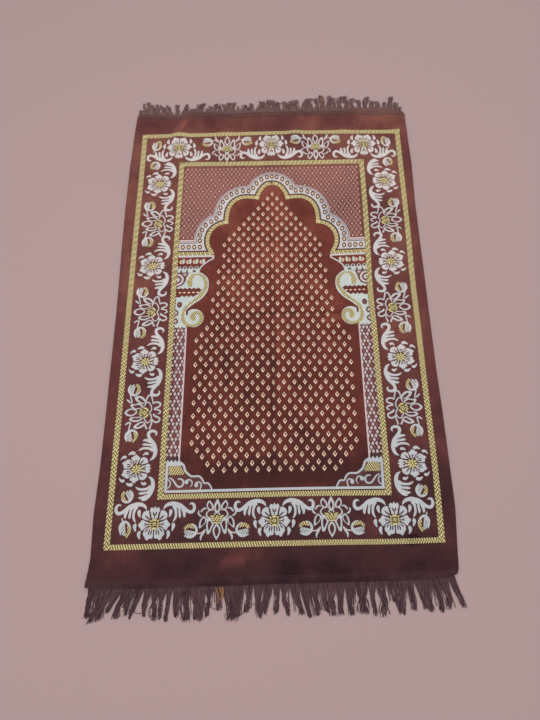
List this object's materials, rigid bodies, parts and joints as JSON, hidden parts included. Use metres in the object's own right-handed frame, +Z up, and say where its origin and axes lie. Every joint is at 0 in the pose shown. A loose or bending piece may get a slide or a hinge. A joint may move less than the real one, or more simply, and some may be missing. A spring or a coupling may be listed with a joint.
{
  "type": "prayer rug",
  "caption": "Flat woven velvet prayer rug with an arched niche, a flowered border and a strand fringe along each end.",
  "frame": {"origin": "on the floor under the middle of the rug's outer size, fringes included", "axes": "+Y along the rug from its foot to its head, where the niche points; +X to the right across it; +Z up out of the pile"},
  "size_m": [0.719, 1.268, 0.0093],
  "materials": {
    "velvet": "cut pile, deep maroon, with patches where the nap lies another way",
    "white_yarn": "flat matt weave, off-white figures",
    "gold_yarn": "lustrous yarn in a diagonal hatch, dull gold",
    "pink_yarn": "flat matt weave, dusty pink",
    "fringe_yarn": "loosely twisted strands, purplish brown"
  },
  "bodies": {
    "root": {"rug_cloth": "velvet", "fringe_head": "fringe_yarn", "fringe_foot": "fringe_yarn"}
  },
  "joints": []
}
